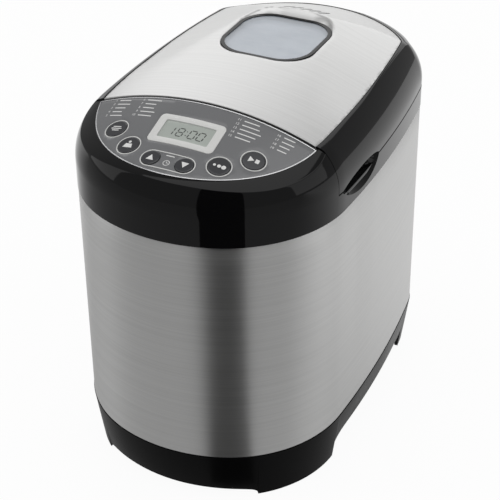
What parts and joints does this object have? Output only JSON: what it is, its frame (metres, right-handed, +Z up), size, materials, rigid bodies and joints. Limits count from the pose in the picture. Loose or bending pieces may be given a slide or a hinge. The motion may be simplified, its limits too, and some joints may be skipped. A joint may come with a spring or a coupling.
{
  "type": "bread machine",
  "caption": "Countertop bread machine with a bowed brushed-steel body, gloss top housing, sloping control panel, hinged lid with viewing window, and a lift-out pan with kneading paddle.",
  "frame": {"origin": "on the surface the machine stands on, below the middle of the body", "axes": "+Z up, -Y towards the control panel, +X to the right of someone facing it"},
  "size_m": [0.2192, 0.338, 0.3177],
  "materials": {
    "satin_black": "satin moulded plastic",
    "gloss_black": "high-gloss moulded plastic",
    "rubber": "moulded rubber",
    "brushed_steel": "fine horizontal brushing",
    "plain_steel": "plain bright steel",
    "oven_steel": "heat-tinted coated sheet",
    "aluminium": "die-cast and sheet aluminium",
    "panel_grey": "printed polycarbonate",
    "trim_silver": "thin bright trim",
    "off_white": "pale moulded plastic",
    "display": "liquid crystal display",
    "circuit_board": "coated circuit board",
    "nonstick": "non-stick coating",
    "glass": "clear toughened glass",
    "silicone": "moulded silicone",
    "bronze": "sintered bronze",
    "heater": "oxidised heating tube"
  },
  "bodies": {
    "body": {"base_skirt": "satin_black", "bottom_plate": "satin_black", "rubber_feet": "rubber", "bottom_screws": "plain_steel", "cord_gland": "rubber", "steel_wrap": "brushed_steel", "wrap_seam": "brushed_steel", "top_housing": "gloss_black", "control_panel": "panel_grey", "panel_trim": "trim_silver", "button_bezels": "off_white", "display_frame": "off_white", "display_glass": "display", "switch_carrier": "circuit_board", "control_board": "circuit_board", "oven_chamber": "oven_steel", "heater_element": "heater", "heater_sleeves": "off_white", "heater_brackets": "oven_steel", "temperature_probe": "plain_steel", "heat_shield": "aluminium", "pan_socket": "aluminium", "hinge_brackets": "satin_black", "hinge_pins": "plain_steel", "chassis_plate": "oven_steel", "main_bearing": "bronze", "motor": "oven_steel", "power_board": "circuit_board", "drive_belt": "rubber"},
    "lid": {"lid_frame": "gloss_black", "lid_cover": "brushed_steel", "window_ring": "gloss_black", "window_glass": "glass", "window_well": "aluminium", "inner_glass": "glass", "lid_liner": "aluminium", "lid_seal": "silicone"},
    "drive": {"drive_shaft": "plain_steel", "large_pulley": "aluminium", "drive_coupling": "aluminium"},
    "motor_rotor": {"motor_shaft": "plain_steel", "motor_pulley": "plain_steel", "cooling_fan": "satin_black"},
    "pan": {"bread_pan": "nonstick", "pan_foot_ring": "aluminium", "pan_bush": "aluminium", "pan_lugs": "plain_steel"},
    "handle": {"pan_handle": "plain_steel"},
    "paddle": {"paddle_shaft": "plain_steel", "wing_coupling": "plain_steel", "kneading_paddle": "nonstick"},
    "key_menu": {"button_menu": "panel_grey"},
    "key_weight": {"button_weight": "panel_grey"},
    "key_colour": {"button_colour": "panel_grey"},
    "key_start": {"button_start": "panel_grey"},
    "key_time_up": {"button_time_up": "panel_grey"},
    "key_time_down": {"button_time_down": "panel_grey"}
  },
  "joints": [
    {"name": "lid_hinge", "type": "hinge", "parent": "body", "child": "lid", "pos_m": [0, 0.157, 0.2624], "axis": [-1, 0, 0], "range_deg": [0, 90]},
    {"name": "pan_lift", "type": "slide", "parent": "body", "child": "pan", "axis": [0, 0, 1], "range_m": [0, 0.055]},
    {"name": "handle_fold", "type": "hinge", "parent": "pan", "child": "handle", "pos_m": [0, 0.035, 0.1955], "axis": [0, -1, 0], "range_deg": [0, 180]},
    {"name": "drive_spin", "type": "hinge", "parent": "body", "child": "drive", "pos_m": [0, 0.035, 0.04], "axis": [0, 0, 1], "continuous": true},
    {"name": "motor_spin", "type": "hinge", "parent": "body", "child": "motor_rotor", "pos_m": [0, -0.112, 0.04], "axis": [0, 0, 1], "continuous": true},
    {"name": "paddle_spin", "type": "hinge", "parent": "pan", "child": "paddle", "pos_m": [0, 0.035, 0.08], "axis": [0, 0, 1], "continuous": true},
    {"name": "press_menu", "type": "slide", "parent": "body", "child": "key_menu", "axis": [0.2261, 0.2864, -0.931], "range_m": [0, 0.0008], "stiffness_N_per_m": 500},
    {"name": "press_weight", "type": "slide", "parent": "body", "child": "key_weight", "axis": [0.1482, 0.2908, -0.9452], "range_m": [0, 0.0008], "stiffness_N_per_m": 500},
    {"name": "press_colour", "type": "slide", "parent": "body", "child": "key_colour", "axis": [-0.1482, 0.2908, -0.9452], "range_m": [0, 0.0008], "stiffness_N_per_m": 500},
    {"name": "press_start", "type": "slide", "parent": "body", "child": "key_start", "axis": [-0.2261, 0.2864, -0.931], "range_m": [0, 0.0008], "stiffness_N_per_m": 500},
    {"name": "press_time_up", "type": "slide", "parent": "body", "child": "key_time_up", "axis": [0.0546, 0.2936, -0.9544], "range_m": [0, 0.0008], "stiffness_N_per_m": 500},
    {"name": "press_time_down", "type": "slide", "parent": "body", "child": "key_time_down", "axis": [-0.0546, 0.2936, -0.9544], "range_m": [0, 0.0008], "stiffness_N_per_m": 500}
  ],
  "couplings": [
    {"joint": "drive_spin", "follows": "motor_spin", "ratio": 0.19048},
    {"joint": "paddle_spin", "follows": "motor_spin", "ratio": 0.19048}
  ]
}
